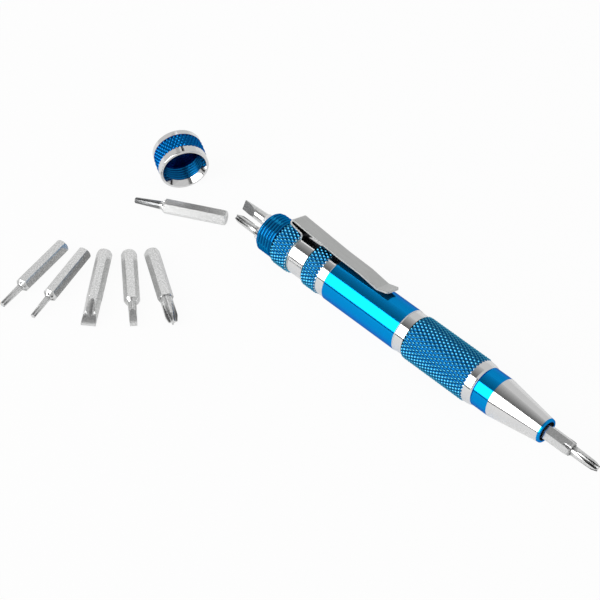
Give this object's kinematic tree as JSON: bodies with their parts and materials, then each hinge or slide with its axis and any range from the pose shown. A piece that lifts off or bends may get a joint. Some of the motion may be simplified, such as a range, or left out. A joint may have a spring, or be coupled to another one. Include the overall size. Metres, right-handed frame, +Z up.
{
  "type": "pocket screwdriver",
  "caption": "Blue anodised pocket screwdriver with a spring clip, a knurled grip, its screw cap taken off and hex bits laid out beside it.",
  "frame": {"origin": "on the driver's axis at the cap's seat, where the tail thread ends", "axes": "+X along the driver towards its nose, +Z up from the surface it lies on, +Y to the side away from the laid-out bits"},
  "size_m": [0.1695, 0.0806, 0.0169],
  "materials": {
    "blue_aluminium": "bright anodised",
    "bright_aluminium": "diamond turned",
    "spring_steel": "brushed",
    "bit_steel": "satin nickel",
    "magnet": "nickel plated"
  },
  "bodies": {
    "driver": {"thread_collar": "blue_aluminium", "clip_foot": "spring_steel", "rear_collar": "blue_aluminium", "barrel": "blue_aluminium", "grip": "blue_aluminium", "nose": "blue_aluminium", "socket_magnet": "magnet"},
    "clip_spring": {"clip_arm": "spring_steel"},
    "cap": {"tail_cap": "blue_aluminium"},
    "fitted_bit": {"nose_bit": "bit_steel"},
    "stored_slotted": {"stored_slotted_bit": "bit_steel"},
    "stored_phillips": {"stored_phillips_bit": "bit_steel"},
    "loose_star": {"loose_star_bit": "bit_steel"},
    "fan_large_star": {"fan_large_star_bit": "bit_steel"},
    "fan_small_star": {"fan_small_star_bit": "bit_steel"},
    "fan_wide_slotted": {"fan_wide_slotted_bit": "bit_steel"},
    "fan_narrow_slotted": {"fan_narrow_slotted_bit": "bit_steel"},
    "fan_phillips": {"fan_phillips_bit": "bit_steel"}
  },
  "joints": [
    {"name": "clip_flex", "type": "hinge", "parent": "driver", "child": "clip_spring", "pos_m": [0.00382, 0.00344, 0.00896], "axis": [0, -0.9336, 0.3584], "range_deg": [0, 6], "stiffness_Nm_per_rad": 1.2, "springref_deg": -1.15},
    {"name": "cap_turn", "type": "hinge", "parent": "driver", "child": "cap", "pos_m": [-0.04494, 0.00145, 0.0007], "axis": [0.8829, -0.4695, 0], "continuous": true},
    {"name": "nose_bit_pull", "type": "slide", "parent": "driver", "child": "fitted_bit", "axis": [1, 0, 0], "range_m": [0, 0.012]},
    {"name": "stored_slotted_slide", "type": "slide", "parent": "driver", "child": "stored_slotted", "axis": [-1, 0, 0], "range_m": [-0.06, 0.015]},
    {"name": "stored_phillips_slide", "type": "slide", "parent": "driver", "child": "stored_phillips", "axis": [-1, 0, 0], "range_m": [-0.06, 0.015]},
    {"name": "loose_star_lift", "type": "slide", "parent": "driver", "child": "loose_star", "axis": [0, 0, 1], "range_m": [0, 0.05]},
    {"name": "fan_large_star_lift", "type": "slide", "parent": "driver", "child": "fan_large_star", "axis": [0, 0, 1], "range_m": [0, 0.05]},
    {"name": "fan_small_star_lift", "type": "slide", "parent": "driver", "child": "fan_small_star", "axis": [0, 0, 1], "range_m": [0, 0.05]},
    {"name": "fan_wide_slotted_lift", "type": "slide", "parent": "driver", "child": "fan_wide_slotted", "axis": [0, 0, 1], "range_m": [0, 0.05]},
    {"name": "fan_narrow_slotted_lift", "type": "slide", "parent": "driver", "child": "fan_narrow_slotted", "axis": [0, 0, 1], "range_m": [0, 0.05]},
    {"name": "fan_phillips_lift", "type": "slide", "parent": "driver", "child": "fan_phillips", "axis": [0, 0, 1], "range_m": [0, 0.05]}
  ]
}
